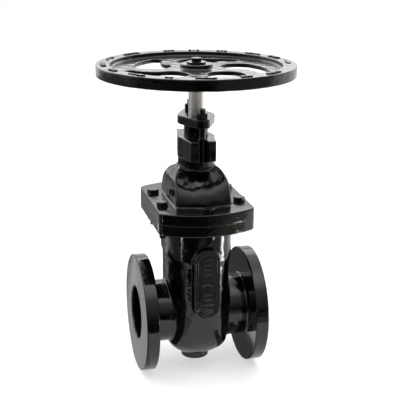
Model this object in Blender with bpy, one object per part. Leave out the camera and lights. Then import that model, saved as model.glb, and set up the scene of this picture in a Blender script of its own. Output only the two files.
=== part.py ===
"""Flanged wedge gate valve, DN 100, inside screw, non-rising stem, with a swirl-spoked handwheel.

Frame: origin on the pipe axis under the stem, +X along the pipe from inlet to outlet,
+Z up the stem. The valve is modelled closed. Units are metres.
"""

import math

import bmesh
import bpy
from mathutils import Matrix, Vector

# ---------------------------------------------------------------- driving dimensions
GAP = 0.0003            # clearance between pieces that touch

FACE_TO_FACE = 0.229    # DN 100 short wedge gate valve
BORE_R = 0.050
PIPE_FLANGE_R = 0.110   # PN 16 flange, 220 mm
PIPE_FLANGE_T = 0.024
NECK_R = 0.0585

BODY_HALF_X = 0.0568    # oval body shell, outer
BODY_HALF_Y = 0.0818
BODY_OVAL = 3.0         # exponent of the oval: 2 is an ellipse, more is squarer
BODY_BOTTOM_Z = -0.0905
BODY_CURVE_Z = 0.015    # where the front and back walls start to curl under
BODY_ROUND_Z = -0.0553  # where the side walls start to curl under
COLLAR_STEP_Z = 0.108   # lower edge of the thicker collar below the body's flange
CHAMBER_HALF_X = 0.036
CHAMBER_TOP_HALF_X = 0.046
CHAMBER_HALF_Y = 0.0735
BOSS_R = 0.0265
BOSS_Z = -0.0972
PLATE_HALF_X = 0.0245   # raised racetrack pad on the front and back walls
PLATE_Z0 = 0.0130
PLATE_Z1 = 0.1475
PLATE_FACE_Y = 0.0945

JOINT_HALF_X = 0.0875   # oval flange between body and bonnet
JOINT_END_Y = 0.120
JOINT_ARC_R = 0.1465
JOINT_CORNER_R = 0.014
JOINT_Z0 = 0.180        # underside of the body's flange
JOINT_Z = 0.1993        # its top face
GASKET_T = 0.0013
JOINT_Z1 = 0.2206       # top of the bonnet's flange

DOME_HALF_X = 0.0515
DOME_HALF_Y = 0.0775
DOME_TOP_Z = 0.2865
DOME_POWER_X = 3.6      # steep sides, flat crown
DOME_POWER_Y = 1.6      # ends that slope back
DOME_IN_TOP_Z = 0.2685

STUFFING_TOP_Z = 0.338
LUG_Z0 = 0.300          # underside of the gland bolts' lugs
STUFFING_R = 0.033
STUFFING_END_Y = 0.058
STUFFING_END_HALF_X = 0.023
PACKING_BORE_R = 0.0223
PACKING_Z0 = 0.302
PACKING_H = 0.0079

STEM_R = 0.014
STEM_THREAD_R = 0.011
STEM_Z0 = 0.060
COLLAR_R = 0.018
COLLAR_Z0 = 0.2868
COLLAR_Z1 = 0.2937
SQUARE_AF = 0.017
SQUARE_Z0 = 0.4487
STEM_TOP_Z = 0.4685

GLAND_Z0 = 0.361
GLAND_Z1 = 0.377
GLAND_R = 0.034
GLAND_EAR_R = 0.014
GLAND_BOLT_Y = 0.0465

WHEEL_R = 0.180
WHEEL_TOP_Z = 0.469
WHEEL_BOTTOM_Z = 0.449
WHEEL_RIM_IN_R = 0.154
WEB_TOP_Z = 0.460
WEB_BOTTOM_Z = 0.4525
HUB_R = 0.029
SLOTS = 5

BOLT_R = 0.006          # M12
BOLT_HOLE_R = 0.0067
HEX_AF = 0.019
BOLT_HEAD_H = 0.0075
NUT_H = 0.010
BONNET_BOLTS = [(0.072, 0.042), (0.0, 0.100), (-0.072, 0.042),
                (-0.072, -0.042), (0.0, -0.100), (0.072, -0.042)]

WEDGE_R = 0.064
WEDGE_HALF_T = 0.023    # half thickness on the pipe axis
TAPER = math.radians(5.0)
SEAT_R = 0.059

# ---------------------------------------------------------------- scene and materials
for old in list(bpy.data.objects):
    bpy.data.objects.remove(old, do_unlink=True)


def material(name, colour, roughness, metallic):
    mat = bpy.data.materials.new(name)
    mat.use_nodes = True
    bsdf = mat.node_tree.nodes["Principled BSDF"]
    bsdf.inputs["Base Color"].default_value = (*colour, 1.0)
    bsdf.inputs["Roughness"].default_value = roughness
    bsdf.inputs["Metallic"].default_value = metallic
    mat.diffuse_color = (*colour, 1.0)
    return mat


ENAMEL = (0.012, 0.012, 0.013)
STEEL = (0.62, 0.61, 0.59)
BRONZE = (0.55, 0.36, 0.16)


# ---------------------------------------------------------------- mesh helpers
def finish(name, bm, colour, roughness, metallic, angle=32.0):
    bmesh.ops.remove_doubles(bm, verts=bm.verts, dist=1e-6)
    bmesh.ops.recalc_face_normals(bm, faces=bm.faces)
    mesh = bpy.data.meshes.new(name)
    bm.to_mesh(mesh)
    bm.free()
    obj = bpy.data.objects.new(name, mesh)
    bpy.context.scene.collection.objects.link(obj)
    mesh.materials.append(material(name + "_material", colour, roughness, metallic))
    mesh.shade_smooth()
    mesh.set_sharp_from_angle(angle=math.radians(angle))
    return obj


def helper(bm):
    """An operand for a Boolean; it is removed once the Boolean is applied."""
    bmesh.ops.remove_doubles(bm, verts=bm.verts, dist=1e-6)
    bmesh.ops.recalc_face_normals(bm, faces=bm.faces)
    mesh = bpy.data.meshes.new("operand")
    bm.to_mesh(mesh)
    bm.free()
    obj = bpy.data.objects.new("operand", mesh)
    bpy.context.scene.collection.objects.link(obj)
    obj.hide_render = True
    obj.display_type = "WIRE"
    return obj


def combine(obj, operation, *operands):
    """Applies one Boolean of this operation for each operand, in order."""
    for operand in operands:
        modifier = obj.modifiers.new(operation.lower(), "BOOLEAN")
        modifier.operation = operation
        modifier.solver = "EXACT"
        modifier.object = operand
    bpy.context.view_layer.update()
    graph = bpy.context.evaluated_depsgraph_get()
    mesh = bpy.data.meshes.new_from_object(obj.evaluated_get(graph))
    obj.modifiers.clear()
    mesh.name = obj.name
    mats = [obj.data.materials[0]] if len(obj.data.materials) else []
    obj.data = mesh
    mesh.materials.clear()
    for mat in mats:
        mesh.materials.append(mat)
    for face in mesh.polygons:
        face.material_index = 0
    for operand in operands:
        bpy.data.objects.remove(operand, do_unlink=True)
    bm = bmesh.new()
    bm.from_mesh(mesh)
    bmesh.ops.remove_doubles(bm, verts=bm.verts, dist=2e-6)
    bmesh.ops.dissolve_degenerate(bm, dist=2e-6, edges=bm.edges)
    bmesh.ops.triangulate(bm, faces=bm.faces)
    bm.to_mesh(mesh)
    bm.free()
    mesh.shade_smooth()
    mesh.set_sharp_from_angle(angle=math.radians(32.0))


def skin(rings, closed=False, cap=True):
    """Joins rings of equal point count; closed joins the last ring to the first."""
    bm = bmesh.new()
    loops = [[bm.verts.new(p) for p in ring] for ring in rings]
    n = len(loops[0])
    pairs = list(zip(loops, loops[1:])) + ([(loops[-1], loops[0])] if closed else [])
    for a, b in pairs:
        for i in range(n):
            j = (i + 1) % n
            bm.faces.new((a[i], a[j], b[j], b[i]))
    if cap and not closed:
        bm.faces.new(list(reversed(loops[0])))
        bm.faces.new(loops[-1])
    return bm


def circle(radius, z, n, centre=(0.0, 0.0), phase=0.0):
    return [(centre[0] + radius * math.cos(phase + 2 * math.pi * i / n),
             centre[1] + radius * math.sin(phase + 2 * math.pi * i / n), z) for i in range(n)]


def regular(sides, across_flats, z, n, centre=(0.0, 0.0), turn=0.0):
    """The outline of a regular polygon, sampled at n angles so that it joins to a circle."""
    points = []
    step = 2 * math.pi / sides
    for i in range(n):
        a = 2 * math.pi * i / n
        off = (a % step) - step / 2
        r = 0.5 * across_flats / math.cos(off)
        points.append((centre[0] + r * math.cos(a + turn), centre[1] + r * math.sin(a + turn), z))
    return points


def box(x0, x1, y0, y1, z0, z1):
    return skin([[(x0, y0, z), (x1, y0, z), (x1, y1, z), (x0, y1, z)] for z in (z0, z1)])


def turned(profile, n, axis="Z"):
    """A closed (radius, height) profile spun round the axis; a radius of 0 meets the axis."""
    bm = bmesh.new()

    def place(r, h, a):
        c, s = r * math.cos(a), r * math.sin(a)
        return (h, c, s) if axis == "X" else (c, s, h)

    loops = []
    for r, h in profile:
        if r < 1e-7:
            loops.append([bm.verts.new(place(0.0, h, 0.0))] * n)
        else:
            loops.append([bm.verts.new(place(r, h, 2 * math.pi * i / n)) for i in range(n)])
    for a, b in zip(loops, loops[1:] + loops[:1]):
        for i in range(n):
            j = (i + 1) % n
            corners = []
            for vert in (a[i], a[j], b[j], b[i]):
                if vert not in corners:
                    corners.append(vert)
            if len(corners) > 2:
                bm.faces.new(corners)
    return bm


def arched_rectangle(half_x, end_y, arc_r, corner_r, corner_n=3, end_n=4):
    """Straight sides at x = +-half_x, arched ends that reach y = +-end_y, rounded corners."""
    centre_y = end_y - arc_r
    cx = half_x - corner_r
    reach = math.sqrt((arc_r - corner_r) ** 2 - cx ** 2)
    cy = centre_y + reach
    meet = math.atan2(reach, cx)
    quarter = [(cx + corner_r * math.cos(meet * i / corner_n),
                cy + corner_r * math.sin(meet * i / corner_n)) for i in range(corner_n + 1)]
    for i in range(1, end_n + 1):
        a = meet + (math.pi / 2 - meet) * i / end_n
        quarter.append((arc_r * math.cos(a), centre_y + arc_r * math.sin(a)))
    left = [(-x, y) for x, y in reversed(quarter[:-1])]
    upper = quarter + left
    return upper + [(-x, -y) for x, y in upper]


def oval(half_x, half_y, exponent, n):
    points = []
    for i in range(n):
        c, s = math.cos(2 * math.pi * i / n), math.sin(2 * math.pi * i / n)
        points.append((math.copysign(half_x * abs(c) ** (2 / exponent), c),
                       math.copysign(half_y * abs(s) ** (2 / exponent), s)))
    return points


def level(outline, z, sx=1.0, sy=1.0):
    return [(x * sx, y * sy, z) for x, y in outline]


def falloff(t, power):
    """1 at t = 0 and 0 at t = 1, along a superellipse."""
    return max(0.0, 1.0 - max(0.0, min(1.0, t)) ** power) ** (1.0 / power)


def tilted(bm, side):
    """Leans a piece turned about X on to one seat plane of the wedge; side is +1 or -1."""
    turn = Matrix.Rotation(TAPER, 4, "Y") if side > 0 else Matrix.Rotation(math.pi - TAPER, 4, "Y")
    bmesh.ops.transform(bm, matrix=Matrix.Translation((side * WEDGE_HALF_T, 0, 0)) @ turn,
                        verts=bm.verts)
    return bm


# ---------------------------------------------------------------- body
def make_body():
    joint = arched_rectangle(JOINT_HALF_X, JOINT_END_Y, JOINT_ARC_R, JOINT_CORNER_R)
    outline = oval(BODY_HALF_X, BODY_HALF_Y, BODY_OVAL, len(joint))
    rings = []
    steps = 9
    for i in range(steps + 1):
        z = BODY_BOTTOM_Z + (BODY_CURVE_Z - BODY_BOTTOM_Z) * (1 - math.cos(math.pi / 2 * (i + 0.35) / (steps + 0.35)))
        sy = falloff((BODY_CURVE_Z - z) / (BODY_CURVE_Z - BODY_BOTTOM_Z), 2.02)
        sx = falloff((BODY_ROUND_Z - z) / (BODY_ROUND_Z - BODY_BOTTOM_Z), 1.6)
        rings.append(level(outline, z, sx, sy))
    rings.append(level(outline, COLLAR_STEP_Z))
    rings.append(level(outline, COLLAR_STEP_Z + 0.011, 1.06, 1.008))
    rings.append(level(outline, JOINT_Z0 - 0.005, 1.068, 1.012))
    rings.append(level(outline, JOINT_Z0, 1.09, 1.035))
    r = 0.0022
    rings.append(level(joint, JOINT_Z0, 1 - r / JOINT_HALF_X, 1 - r / JOINT_END_Y))
    rings.append(level(joint, JOINT_Z0 + r))
    rings.append(level(joint, JOINT_Z))
    body = finish("body", skin(rings), ENAMEL, 0.22, 0.0)

    half = FACE_TO_FACE / 2
    back = half - PIPE_FLANGE_T
    c = 0.0025
    side = [(0.0, half), (PIPE_FLANGE_R - c, half), (PIPE_FLANGE_R, half - c),
            (PIPE_FLANGE_R, back + c), (PIPE_FLANGE_R - c, back), (NECK_R + 0.004, back),
            (NECK_R, back - 0.004), (NECK_R, 0.060), (NECK_R + 0.006, 0.052)]
    profile = side + [(r_, -x) for r_, x in reversed(side)]
    pipes = helper(turned(profile, 44, "X"))
    boss = helper(skin([circle(BOSS_R - 0.0015, BOSS_Z, 28), circle(BOSS_R, BOSS_Z + 0.0015, 28),
                        circle(BOSS_R, -0.070, 28)]))
    pads = []
    for sign in (1, -1):
        track = []
        n = 7
        for k in range(n + 1):
            a = math.pi * k / n
            track.append((PLATE_HALF_X * math.cos(a), PLATE_Z1 - PLATE_HALF_X + PLATE_HALF_X * math.sin(a)))
        for k in range(n + 1):
            a = math.pi + math.pi * k / n
            track.append((PLATE_HALF_X * math.cos(a), PLATE_Z0 + PLATE_HALF_X + PLATE_HALF_X * math.sin(a)))
        mid = (PLATE_Z0 + PLATE_Z1) / 2
        rings = []
        for y, grow in ((0.070, 0.0015), (PLATE_FACE_Y - 0.002, 0.0), (PLATE_FACE_Y, -0.0015)):
            kx = 1 + grow / PLATE_HALF_X
            kz = 1 + grow / (PLATE_Z1 - mid)
            rings.append([(x * kx, sign * y, mid + (z - mid) * kz) for x, z in track])
        pads.append(helper(skin(rings)))
    combine(body, "UNION", pipes, boss, *pads)

    bore = helper(turned([(0, -half - 0.01), (BORE_R, -half - 0.01), (BORE_R, half + 0.01), (0, half + 0.01)], 36, "X"))
    recess = helper(turned([(0, -0.0405), (SEAT_R + GAP, -0.0405), (SEAT_R + GAP, 0.0405), (0, 0.0405)], 36, "X"))
    inner = oval(CHAMBER_HALF_X, CHAMBER_HALF_Y, BODY_OVAL, 20)
    rings = []
    top, bottom = 0.010, -0.079
    for i in range(7):
        z = bottom + (top - bottom) * (1 - math.cos(math.pi / 2 * (i + 0.5) / 6.5))
        rings.append(level(inner, z, falloff((-0.062 - z) / 0.017, 2.2), falloff((top - z) / (top - bottom), 2.02)))
    rings.append(level(inner, 0.066))
    grow = CHAMBER_TOP_HALF_X / CHAMBER_HALF_X
    rings.append(level(inner, 0.084, grow))
    rings.append(level(inner, 0.240, grow))
    chamber = helper(skin(rings))
    holes = [helper(skin([circle(BOLT_HOLE_R, z, 12, p, 0.13) for z in (JOINT_Z0 - 0.004, JOINT_Z + 0.01)]))
             for p in BONNET_BOLTS]
    combine(body, "DIFFERENCE", bore, recess, chamber, *holes)
    ribs = [helper(box(-0.004, 0.004, y0, y1, -0.012, 0.190))
            for y0, y1 in ((0.0665, 0.0758), (-0.0758, -0.0665))]
    combine(body, "UNION", *ribs)


def make_gasket():
    outer = arched_rectangle(JOINT_HALF_X - 0.0025, JOINT_END_Y - 0.0025, JOINT_ARC_R - 0.0025, JOINT_CORNER_R - 0.0025)
    inner = oval(CHAMBER_TOP_HALF_X + 0.001, CHAMBER_HALF_Y + 0.001, BODY_OVAL, len(outer))
    z0 = JOINT_Z + GAP
    z1 = z0 + GASKET_T
    gasket = finish("bonnet_gasket", skin([level(outer, z0), level(outer, z1), level(inner, z1), level(inner, z0)],
                                          closed=True), (0.10, 0.09, 0.08), 0.8, 0.0)
    holes = [helper(skin([circle(BOLT_HOLE_R, z, 12, p, 0.13) for z in (z0 - 0.002, z1 + 0.002)])) for p in BONNET_BOLTS]
    combine(gasket, "DIFFERENCE", *holes)


# ---------------------------------------------------------------- bonnet
def stuffing_outline():
    """A round boss with a flat-ended lug towards each gland bolt."""
    y, w, r = STUFFING_END_Y, STUFFING_END_HALF_X, STUFFING_R
    reach = math.hypot(w, y)
    start = math.atan2(y, w) - math.acos(r / reach)
    arc = [(r * math.cos(start * k / 3), r * math.sin(start * k / 3)) for k in range(4)]
    quarter = arc + [(w, y - 0.003), (w - 0.003, y)]
    upper = quarter + [(-x, yy) for x, yy in reversed(quarter[1:])] + [(-r, 0.0)]
    lower = [(-x, -yy) for x, yy in quarter[1:]] + [(x, -yy) for x, yy in reversed(quarter[1:])]
    return upper + lower


def make_bonnet():
    joint = arched_rectangle(JOINT_HALF_X, JOINT_END_Y, JOINT_ARC_R, JOINT_CORNER_R)
    plan = arched_rectangle(DOME_HALF_X, DOME_HALF_Y, 0.120, 0.009)
    base = JOINT_Z + 2 * GAP + GASKET_T
    r = 0.0022
    rings = [level(joint, base), level(joint, JOINT_Z1 - r),
             level(joint, JOINT_Z1, 1 - r / JOINT_HALF_X, 1 - r / JOINT_END_Y),
             level(plan, JOINT_Z1, 1.09, 1.06), level(plan, JOINT_Z1 + 0.0012, 1.045, 1.03),
             level(plan, JOINT_Z1 + 0.005, 1.0, 1.0)]
    z0 = JOINT_Z1 + 0.005
    steps = 9
    for i in range(1, steps + 1):
        a = math.pi / 2 * i / (steps + 0.5)
        t = math.sin(a)
        rings.append(level(plan, z0 + (DOME_TOP_Z - z0) * t, falloff(t, DOME_POWER_X), falloff(t, DOME_POWER_Y)))
    bonnet = finish("bonnet", skin(rings), ENAMEL, 0.22, 0.0)
    outline = stuffing_outline()
    boss = helper(skin([circle(STUFFING_R, z, 32, (0, 0), 0.1) for z in (0.262, STUFFING_TOP_Z - 0.004)]))
    lugs = helper(skin([level(outline, LUG_Z0), level(outline, STUFFING_TOP_Z - 0.0015),
                        level(outline, STUFFING_TOP_Z, 0.97, 0.98)]))
    combine(bonnet, "UNION", boss, lugs)

    inner = arched_rectangle(0.0425, 0.0660, 0.100, 0.014, 2, 2)
    rings = [level(inner, 0.190), level(inner, 0.232)]
    for i in range(1, 6):
        a = math.pi / 2 * i / 6
        t = math.sin(a)
        rings.append(level(inner, 0.232 + (DOME_IN_TOP_Z - 0.232) * t, falloff(t, DOME_POWER_X),
                           falloff(t, DOME_POWER_Y)))
    hollow = helper(skin(rings))
    bore = helper(turned([(0, 0.255), (0.0233, 0.255), (0.0233, 0.2863), (0.0185, 0.2863), (0.0185, 0.2942),
                          (STEM_R + 0.0005, 0.2942), (STEM_R + 0.0005, PACKING_Z0), (PACKING_BORE_R, PACKING_Z0),
                          (PACKING_BORE_R, STUFFING_TOP_Z + 0.01), (0, STUFFING_TOP_Z + 0.01)], 28))
    holes = [helper(skin([circle(BOLT_HOLE_R, z, 12, p, 0.13) for z in (base - 0.005, JOINT_Z1 + 0.005)]))
             for p in BONNET_BOLTS]
    slots = []
    for sign in (1, -1):
        w, y = 0.0072, GLAND_BOLT_Y
        shape = [(w, 0.07), (w, y)] + [(w * math.cos(math.pi * k / 6), y - w * math.sin(math.pi * k / 6))
                                       for k in range(1, 6)] + [(-w, y), (-w, 0.07)]
        slots.append(helper(skin([[(x, sign * yy, z) for x, yy in shape] for z in (0.2950, 0.350)])))
    combine(bonnet, "DIFFERENCE", hollow, bore, *holes, *slots)


# ---------------------------------------------------------------- trim inside the valve
def make_seats():
    for side, name in ((-1, "seat_ring_inlet"), (1, "seat_ring_outlet")):
        xs = sorted((side * 0.010, side * 0.0402))
        ring = finish(name, turned([(BORE_R, xs[0]), (SEAT_R, xs[0]), (SEAT_R, xs[1]), (BORE_R, xs[1])], 36, "X"),
                      BRONZE, 0.35, 1.0)
        waste = tilted(box(-0.12, 0.00015, -0.1, 0.1, -0.1, 0.1), side)
        combine(ring, "DIFFERENCE", helper(waste))


def make_wedge():
    inset = 0.0016
    trapezium = []
    for z in (-0.07, 0.07):
        trapezium.append(WEDGE_HALF_T + z * math.tan(TAPER) - inset / math.cos(TAPER))
    lo, hi = trapezium
    rings = [[(-lo, y, -0.07), (lo, y, -0.07), (hi, y, 0.07), (-hi, y, 0.07)] for y in (-0.09, 0.09)]
    wedge = finish("wedge", skin(rings), (0.10, 0.10, 0.10), 0.55, 0.6)
    disc = helper(turned([(0, -0.04), (WEDGE_R - 0.003, -0.04), (WEDGE_R, -0.036), (WEDGE_R, 0.036),
                          (WEDGE_R - 0.003, 0.04), (0, 0.04)], 36, "X"))
    combine(wedge, "INTERSECT", disc)
    lugs = helper(box(-0.011, 0.011, -0.0705, 0.0705, 0.001, 0.034))
    boss = helper(box(-0.021, 0.021, -0.026, 0.026, 0.040, 0.102))
    combine(wedge, "UNION", lugs, boss)
    cuts = [helper(box(-0.0046, 0.0046, y0, y1, -0.05, 0.06)) for y0, y1 in ((0.0655, 0.09), (-0.09, -0.0655))]
    cuts.append(helper(skin([circle(0.0125, z, 20) for z in (-0.057, 0.12)])))
    cuts.append(helper(box(-0.03, 0.03, -0.0185, 0.0185, 0.070, 0.092)))
    for side in (-1, 1):
        cuts.append(helper(tilted(turned([(0.0502, -0.0048), (0.0608, -0.0048), (0.0608, 0.02), (0.0502, 0.02)],
                                         36, "X"), side)))
    combine(wedge, "DIFFERENCE", *cuts)
    for side, name in ((-1, "wedge_ring_inlet"), (1, "wedge_ring_outlet")):
        finish(name, tilted(turned([(0.0505, -0.0045), (0.0605, -0.0045), (0.0605, -0.00015), (0.0505, -0.00015)],
                                   36, "X"), side), BRONZE, 0.35, 1.0)
    nut = finish("stem_nut", box(-0.0205, 0.0205, -0.0182, 0.0182, 0.0703, 0.0917), BRONZE, 0.35, 1.0)
    combine(nut, "DIFFERENCE", helper(skin([circle(STEM_THREAD_R + 0.0004, z, 20) for z in (0.06, 0.10)])))


def make_stem():
    n = 24
    rings = [circle(STEM_THREAD_R - 0.0015, STEM_Z0, n), circle(STEM_THREAD_R, STEM_Z0 + 0.0015, n),
             circle(STEM_THREAD_R, 0.262, n), circle(STEM_R, 0.263, n), circle(STEM_R, COLLAR_Z0, n),
             circle(COLLAR_R, COLLAR_Z0, n), circle(COLLAR_R, COLLAR_Z1, n), circle(STEM_R, COLLAR_Z1, n),
             circle(STEM_R, SQUARE_Z0 - 0.002, n), circle(STEM_R - 0.001, SQUARE_Z0 - 0.001, n),
             regular(4, SQUARE_AF, SQUARE_Z0 - 0.001, n),
             regular(4, SQUARE_AF, STEM_TOP_Z, n), circle(0.0053, STEM_TOP_Z, n), circle(0.0053, 0.4395, n)]
    finish("stem", skin(rings), STEEL, 0.22, 1.0)
    finish("thrust_ring", turned([(STEM_R + 0.0005, 0.2700), (0.0230, 0.2700), (0.0230, 0.2860),
                                  (STEM_R + 0.0005, 0.2860)], 24), BRONZE, 0.35, 1.0)
    z = PACKING_Z0 + GAP
    for k in (1, 2, 3):
        finish(f"packing_ring_{k}", turned([(STEM_R + GAP, z), (PACKING_BORE_R - GAP, z),
                                            (PACKING_BORE_R - GAP, z + PACKING_H), (STEM_R + GAP, z + PACKING_H)],
                                           24), (0.05, 0.05, 0.05), 0.7, 0.0)
        z += PACKING_H + GAP
    return z


# ---------------------------------------------------------------- gland
def gland_outline():
    """Central disc joined to two rounded ears by tangent lines."""
    tangent = math.acos((GLAND_R - GLAND_EAR_R) / GLAND_BOLT_Y)
    split = math.pi / 2 - tangent
    quarter = [(GLAND_R * math.cos(split * k / 3), GLAND_R * math.sin(split * k / 3)) for k in range(4)]
    for k in range(6):
        a = split + (math.pi / 2 - split) * k / 5
        quarter.append((GLAND_EAR_R * math.cos(a), GLAND_BOLT_Y + GLAND_EAR_R * math.sin(a)))
    upper = quarter + [(-x, y) for x, y in reversed(quarter[1:-1])]
    return upper + [(-x, -y) for x, y in upper]


def make_gland(nose_z):
    outline = gland_outline()
    plate = finish("gland_flange", skin([level(outline, GLAND_Z0), level(outline, GLAND_Z1 - 0.0015),
                                         level(outline, GLAND_Z1, 0.965, 0.975)]), ENAMEL, 0.24, 0.0)
    sleeve = helper(turned([(0, nose_z), (PACKING_BORE_R - GAP, nose_z), (PACKING_BORE_R - GAP, GLAND_Z0 + 0.004),
                            (0, GLAND_Z0 + 0.004)], 28))
    combine(plate, "UNION", sleeve)
    cuts = [helper(skin([circle(STEM_R + 0.0005, z, 24) for z in (nose_z - 0.01, GLAND_Z1 + 0.01)]))]
    for sign in (1, -1):
        cuts.append(helper(skin([circle(BOLT_HOLE_R, z, 14, (0, sign * GLAND_BOLT_Y), 0.13)
                                 for z in (GLAND_Z0 - 0.01, GLAND_Z1 + 0.01)])))
    combine(plate, "DIFFERENCE", *cuts)
    for k, sign in ((1, -1), (2, 1)):
        y = sign * GLAND_BOLT_Y
        n = 12
        z1 = LUG_Z0 - GAP
        z0 = z1 - BOLT_HEAD_H
        turn = math.radians(20)
        finish(f"gland_bolt_{k}", skin([circle(HEX_AF / 2 - 0.0003, z0, n, (0, y), turn),
                                        regular(6, HEX_AF, z0 + 0.0012, n, (0, y), turn),
                                        regular(6, HEX_AF, z1, n, (0, y), turn),
                                        circle(BOLT_R, z1, n, (0, y), turn), circle(BOLT_R, 0.3945, n, (0, y), turn),
                                        circle(BOLT_R - 0.001, 0.3955, n, (0, y), turn)]), ENAMEL, 0.3, 0.0)
        make_nut(f"gland_nut_{k}", (0, y), GLAND_Z1 + GAP, math.radians(12 * k))


# ---------------------------------------------------------------- fasteners
def make_nut(name, centre, z0, turn=0.0):
    n = 12
    z1 = z0 + NUT_H
    c = 0.0012
    rings = [regular(6, HEX_AF, z0, n, centre, turn), regular(6, HEX_AF, z1 - c, n, centre, turn),
             circle(HEX_AF / 2 - 0.0003, z1, n, centre, turn), circle(BOLT_R + 0.0004, z1, n, centre, turn),
             circle(BOLT_R + 0.0004, z0, n, centre, turn)]
    return finish(name, skin(rings, closed=True), ENAMEL, 0.3, 0.0)


def make_bonnet_bolts():
    n = 12
    for k, p in enumerate(BONNET_BOLTS, 1):
        turn = math.radians(17 * k)
        z0 = JOINT_Z1 + GAP
        z1 = z0 + BOLT_HEAD_H
        end = 0.159
        rings = [circle(BOLT_R - 0.001, end, n, p, turn), circle(BOLT_R, end + 0.001, n, p, turn),
                 circle(BOLT_R, z0, n, p, turn), regular(6, HEX_AF, z0, n, p, turn),
                 regular(6, HEX_AF, z1 - 0.0012, n, p, turn), circle(HEX_AF / 2 - 0.0003, z1, n, p, turn)]
        finish(f"bonnet_bolt_{k}", skin(rings), ENAMEL, 0.3, 0.0)
        make_nut(f"bonnet_nut_{k}", p, JOINT_Z0 - GAP - NUT_H, math.radians(23 * k))


# ---------------------------------------------------------------- handwheel
def slot_outline(turn, n=12):
    """A comma-shaped opening: a wide bulb by the hub that sweeps outwards into a narrow tip."""
    start, sweep = math.radians(5.8), math.radians(-36.0)
    centres, widths = [], []
    for k in range(n + 1):
        t = k / n
        r = 0.0836 + 0.0438 * t - 0.0045 * t * t
        a = start + sweep * t
        centres.append(Vector((r * math.cos(a), r * math.sin(a))))
        widths.append(0.0125 + 0.0220 * (1 - t) ** 1.2)
    left, right = [], []
    for k in range(n + 1):
        ahead = centres[min(k + 1, n)] - centres[max(k - 1, 0)]
        ahead.normalize()
        normal = Vector((-ahead.y, ahead.x))
        left.append(centres[k] + normal * widths[k])
        right.append(centres[k] - normal * widths[k])
    first = centres[1] - centres[0]
    last = centres[-1] - centres[-2]

    def cap(centre, radius, from_angle, m):
        return [centre + Vector((radius * math.cos(from_angle - math.pi * j / m),
                                 radius * math.sin(from_angle - math.pi * j / m))) for j in range(1, m)]

    tip = cap(centres[-1], widths[-1], math.atan2(last.y, last.x) + math.pi / 2, 4)
    bulb = cap(centres[0], widths[0], math.atan2(first.y, first.x) - math.pi / 2, 7)
    c, s = math.cos(turn), math.sin(turn)
    return [(p.x * c - p.y * s, p.x * s + p.y * c) for p in left + tip + right[::-1] + bulb]


def make_handwheel():
    e = 0.0015
    profile = [(0.006, 0.4490), (HUB_R, 0.4490), (HUB_R, WEB_BOTTOM_Z), (0.151, WEB_BOTTOM_Z),
               (0.1540, WHEEL_BOTTOM_Z), (WHEEL_R - e, WHEEL_BOTTOM_Z), (WHEEL_R, WHEEL_BOTTOM_Z + e),
               (WHEEL_R, WHEEL_TOP_Z - 1.5 * e), (WHEEL_R - 1.5 * e, WHEEL_TOP_Z),
               (WHEEL_RIM_IN_R + e, WHEEL_TOP_Z), (0.1520, WEB_TOP_Z + 0.0026), (0.147, WEB_TOP_Z),
               (HUB_R, WEB_TOP_Z), (HUB_R - 0.001, WHEEL_TOP_Z), (0.006, WHEEL_TOP_Z)]
    wheel = finish("handwheel", turned(profile, 64), ENAMEL, 0.24, 0.0)
    cuts = []
    for k in range(SLOTS):
        outline = slot_outline(2 * math.pi * k / SLOTS)
        cuts.append(helper(skin([level(outline, 0.440), level(outline, 0.480)])))
    cuts.append(helper(skin([regular(4, SQUARE_AF + 2 * GAP, z, 4) for z in (0.440, 0.480)])))
    combine(wheel, "DIFFERENCE", *cuts)
    z = WHEEL_TOP_Z + GAP
    finish("wheel_washer", turned([(0.0056, z), (0.0175, z), (0.0175, z + 0.003), (0.0056, z + 0.003)], 28),
           ENAMEL, 0.3, 0.0)
    z += 0.003 + GAP
    n = 12
    finish("wheel_bolt", skin([circle(0.0041, 0.4425, n), circle(0.005, 0.4435, n), circle(0.005, z, n),
                               regular(6, 0.017, z, n), regular(6, 0.017, z + 0.0054, n),
                               circle(0.0081, z + 0.0065, n)]), ENAMEL, 0.3, 0.0)


make_body()
make_gasket()
make_bonnet()
make_seats()
make_wedge()
nose = make_stem()
make_gland(nose)
make_bonnet_bolts()
make_handwheel()

# ---------------------------------------------------------------- moving groups
# The wheel group turns about the stem's axis, and the wedge group and the gland slide
# along it. Each gland nut turns about its own bolt's axis.
GROUPS = {
    "wheel_axis": (0.0, ("stem", "handwheel", "wheel_washer", "wheel_bolt")),
    "wedge_axis": (0.0, ("wedge", "wedge_ring_inlet", "wedge_ring_outlet", "stem_nut")),
    "gland_axis": (0.0, ("gland_flange",)),
    "gland_nut_front_axis": (-GLAND_BOLT_Y, ("gland_nut_1",)),
    "gland_nut_back_axis": (GLAND_BOLT_Y, ("gland_nut_2",)),
}
for axis_name, (axis_y, members) in GROUPS.items():
    empty = bpy.data.objects.new(axis_name, None)
    empty.location = (0.0, axis_y, 0.0)
    bpy.context.scene.collection.objects.link(empty)
    for member in members:
        child = bpy.data.objects[member]
        child.parent = empty
        child.matrix_parent_inverse = Matrix.Translation((0.0, -axis_y, 0.0))
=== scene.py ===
"""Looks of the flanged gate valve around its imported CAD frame: castings shaped from distance
fields with cast fillets, turned and threaded steel, gloss black enamel, white studio."""

import math

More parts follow.
